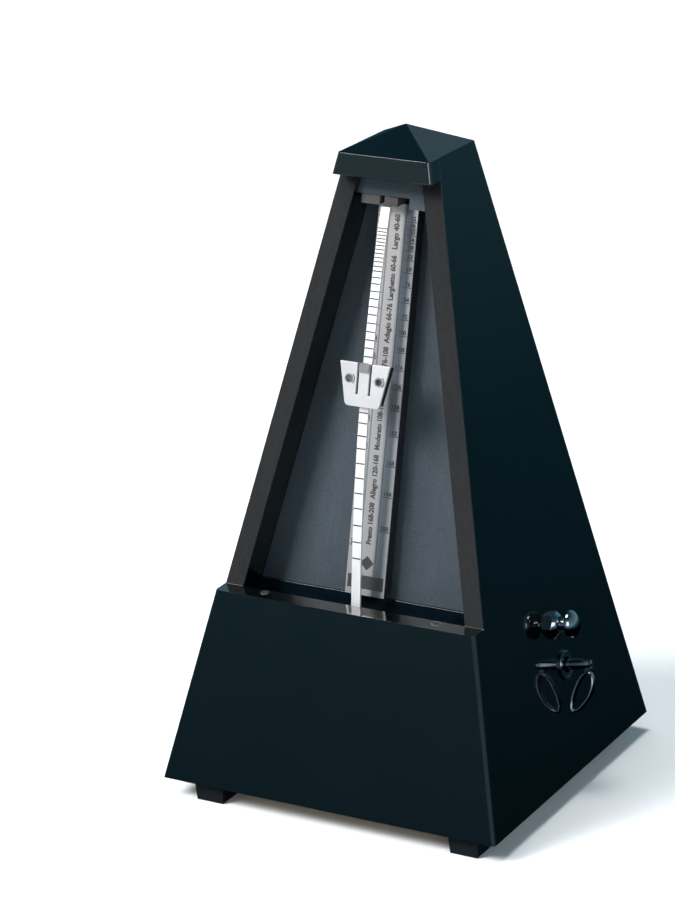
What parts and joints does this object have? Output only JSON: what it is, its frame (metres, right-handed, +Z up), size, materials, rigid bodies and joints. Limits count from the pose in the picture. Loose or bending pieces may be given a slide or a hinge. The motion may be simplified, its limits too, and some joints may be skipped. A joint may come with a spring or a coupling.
{
  "type": "metronome",
  "caption": "Wooden pyramid metronome with its cover off: bowed pendulum rod and sliding weight over a tempo scale, spring clockwork, winding key and bell selector.",
  "frame": {"origin": "centre of the case's underside, above the feet", "axes": "+Z up, -Y to the front where the pendulum is, +X to the side with the winding key"},
  "size_m": [0.1256, 0.129, 0.2207],
  "materials": {
    "lacquer": "polished black lacquer on wood",
    "board_grain": "slate-coloured satin stained wood",
    "ledge": "dark navy gloss",
    "bare_wood": "plain unfinished wood",
    "scale_enamel": "silver-white printed metal",
    "clip_wood": "dark stained wood",
    "foot_rubber": "matte black",
    "steel": "plain steel",
    "rod_steel": "satin, finely ruled",
    "weight_satin": "satin silver",
    "weight_dark": "dark cast sides",
    "pad": "grey, knurled",
    "works_brass": "turned brass",
    "bob_brass": "dull brass",
    "chrome": "bright plated",
    "spring_steel": "blued steel",
    "latch_black": "black",
    "emblem": "dark brown with gold lines"
  },
  "bodies": {
    "case": {"left_side_panel": "lacquer", "right_side_panel": "lacquer", "back_panel": "lacquer", "base_front_panel": "lacquer", "header_lip": "lacquer", "roof_cap": "lacquer", "bottom_board": "bare_wood", "corner_blocks": "bare_wood", "front_board": "board_grain", "top_rail": "board_grain", "ledge_rail": "ledge", "pendulum_clip": "clip_wood", "tempo_scale": "scale_enamel", "cover_sockets": "works_brass", "feet": "foot_rubber", "foot_screws": "steel", "key_eyelet": "chrome", "selector_ferrule": "chrome", "left_movement_plate": "works_brass", "right_movement_plate": "works_brass", "movement_pillars": "works_brass", "movement_nuts": "works_brass", "movement_spacers": "works_brass", "movement_screws": "steel", "mainspring": "spring_steel", "spring_post": "steel", "click_screw": "steel", "verge_bridge": "works_brass", "bell": "chrome", "bell_post": "works_brass"},
    "winding": {"winding_arbor": "steel", "key_stem": "chrome", "key_bow_pin": "steel", "ratchet_wheel": "steel"},
    "key_bow": {"key_bow": "chrome"},
    "click": {"ratchet_click": "steel"},
    "great": {"great_wheel": "works_brass"},
    "second": {"second_arbor": "steel", "second_wheel": "works_brass"},
    "escape": {"escape_arbor": "steel", "escape_wheel": "works_brass", "bell_cams": "works_brass"},
    "pendulum": {"pendulum_rod": "rod_steel", "pendulum_verge": "steel", "verge_washers": "works_brass", "verge_pallets": "steel", "pendulum_bob": "bob_brass"},
    "weight": {"weight_plate": "weight_satin", "weight_body": "weight_dark", "weight_rivets": "steel", "weight_thumb_pad": "pad"},
    "selector": {"selector_rod": "steel", "selector_knob": "chrome"},
    "hammer": {"bell_hammer": "works_brass"},
    "cover": {"front_cover": "lacquer", "cover_pins": "steel", "cover_emblem": "emblem", "emblem_pins": "works_brass", "cover_latch_plate": "latch_black"},
    "cover_latch": {"cover_latch_button": "latch_black"}
  },
  "joints": [
    {"name": "key_wind", "type": "hinge", "parent": "case", "child": "winding", "pos_m": [0.05304, 0.0087, 0.0352], "axis": [0.9777, 0, 0.2101], "range_deg": [-120, 185]},
    {"name": "key_bow_fold", "type": "hinge", "parent": "winding", "child": "key_bow", "pos_m": [0.06135, 0.0087, 0.03699], "axis": [-0.0719, -0.9397, 0.3344], "range_deg": [0, 100]},
    {"name": "click_lift", "type": "hinge", "parent": "case", "child": "click", "pos_m": [0.0414, -0.00195, 0.02507], "axis": [0.9777, 0, 0.2101], "range_deg": [0, 6], "stiffness_Nm_per_rad": 0.002, "springref_deg": -5.73},
    {"name": "great_wheel_turn", "type": "hinge", "parent": "case", "child": "great", "pos_m": [0.01784, 0.0087, 0.02764], "axis": [0.9777, 0, 0.2101], "continuous": true},
    {"name": "second_wheel_turn", "type": "hinge", "parent": "case", "child": "second", "pos_m": [0.02171, -0.01219, 0.03343], "axis": [0.9777, 0, 0.2101], "continuous": true},
    {"name": "escape_wheel_turn", "type": "hinge", "parent": "case", "child": "escape", "pos_m": [0.01858, -0.014, 0.04799], "axis": [0.9777, 0, 0.2101], "continuous": true},
    {"name": "pendulum_swing", "type": "hinge", "parent": "case", "child": "pendulum", "pos_m": [0, -0.0377, 0.044], "axis": [0, 1, 0], "range_deg": [-20, 20]},
    {"name": "weight_slide", "type": "hinge", "parent": "pendulum", "child": "weight", "pos_m": [0, 0.4143, 0.046], "axis": [-1, 0, 0], "range_deg": [-7.5, 6.2]},
    {"name": "selector_pull", "type": "slide", "parent": "case", "child": "selector", "axis": [0.9777, 0, 0.2101], "range_m": [0, 0.009]},
    {"name": "hammer_strike", "type": "hinge", "parent": "selector", "child": "hammer", "pos_m": [0.02398, 0.0052, 0.0443], "axis": [0.9777, 0, 0.2101], "range_deg": [-6, 4], "stiffness_Nm_per_rad": 0.0005},
    {"name": "cover_lift", "type": "slide", "parent": "case", "child": "cover", "axis": [0, 0, 1], "range_m": [0, 0.15]},
    {"name": "cover_latch_press", "type": "slide", "parent": "cover", "child": "cover_latch", "axis": [0, -1, 0], "range_m": [0, 0.001], "stiffness_N_per_m": 400}
  ],
  "couplings": [
    {"joint": "second_wheel_turn", "follows": "great_wheel_turn", "ratio": -4.5},
    {"joint": "escape_wheel_turn", "follows": "great_wheel_turn", "ratio": 18}
  ]
}
